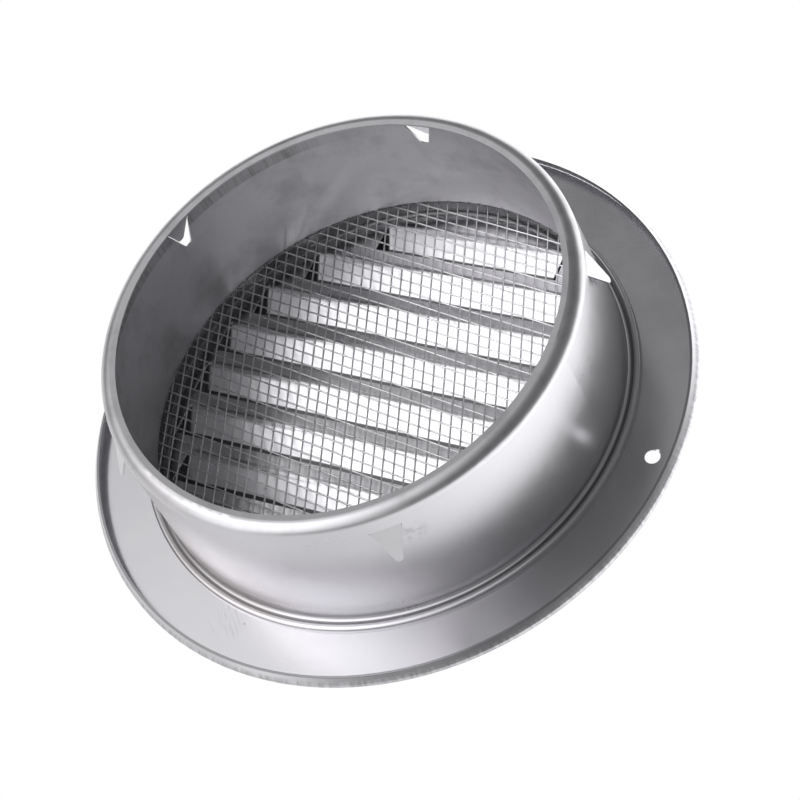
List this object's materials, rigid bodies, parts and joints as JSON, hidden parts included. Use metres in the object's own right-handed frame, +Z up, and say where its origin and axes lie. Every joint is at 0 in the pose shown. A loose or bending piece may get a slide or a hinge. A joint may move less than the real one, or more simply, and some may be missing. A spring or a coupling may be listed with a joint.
{
  "type": "exhaust vent cap",
  "caption": "Round louvred exhaust vent cap with a rolled rim, a wire insect mesh and a barbed collar that slips into a duct.",
  "frame": {"origin": "on the duct axis in the plane of the wall, at the rear edge of the rim", "axes": "+Y into the wall along the duct axis, +Z up with the louvres level, front face to -Y"},
  "size_m": [0.1926, 0.0594, 0.1926],
  "materials": {
    "cover_steel": "satin",
    "collar_steel": "satin",
    "mesh_wire": "drawn wire"
  },
  "bodies": {
    "root": {"louvre_cover": "cover_steel", "duct_collar": "collar_steel", "insect_mesh": "mesh_wire"}
  },
  "joints": []
}
